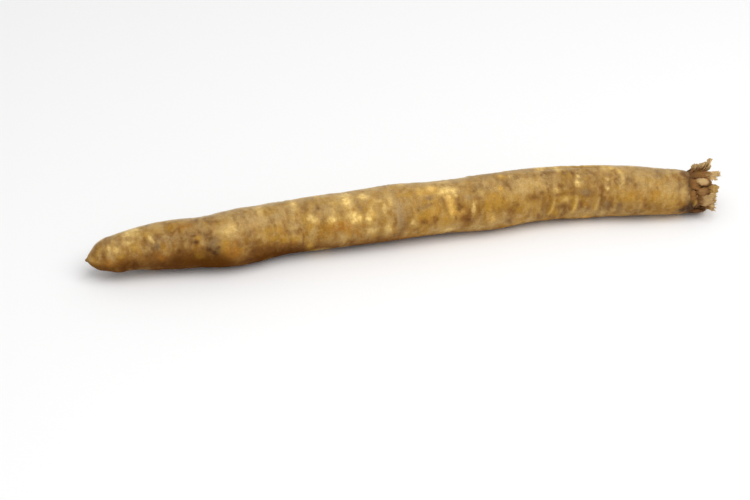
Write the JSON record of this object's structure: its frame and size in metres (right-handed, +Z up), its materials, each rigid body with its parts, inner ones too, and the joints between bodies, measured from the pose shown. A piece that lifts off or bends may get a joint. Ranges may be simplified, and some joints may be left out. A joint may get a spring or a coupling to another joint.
{
  "type": "black salsify root",
  "caption": "Long, slender scorzonera root lying on its side: a gently bent, ringed and scarred brown taproot with a worn tip and a frayed crown of dry leaf stubs.",
  "frame": {"origin": "middle of the root's bounding box in plan, on the surface that it lies on", "axes": "+X along the root from its tip to its crown; +Z up, away from the surface; the neck bends towards -Y"},
  "size_m": [0.2632, 0.0306, 0.0235],
  "materials": {
    "root_skin": "dry, ochre-brown, mottled corky skin with darker rings, pits and stains",
    "dry_leaf": "dry, matt leaf bases, dark brown at the foot and pale straw at the frayed ends",
    "pale_stalk": "cut stalk of the young leaves, pale and matt"
  },
  "bodies": {
    "root": {"taproot": "root_skin", "leaf_stub_01": "dry_leaf", "leaf_stub_02": "dry_leaf", "leaf_stub_03": "dry_leaf", "leaf_stub_04": "dry_leaf", "leaf_stub_05": "dry_leaf", "leaf_stub_06": "dry_leaf", "leaf_stub_07": "dry_leaf", "leaf_stub_08": "dry_leaf", "leaf_stub_09": "dry_leaf", "leaf_stub_10": "dry_leaf", "heart_stub": "pale_stalk"}
  },
  "joints": []
}
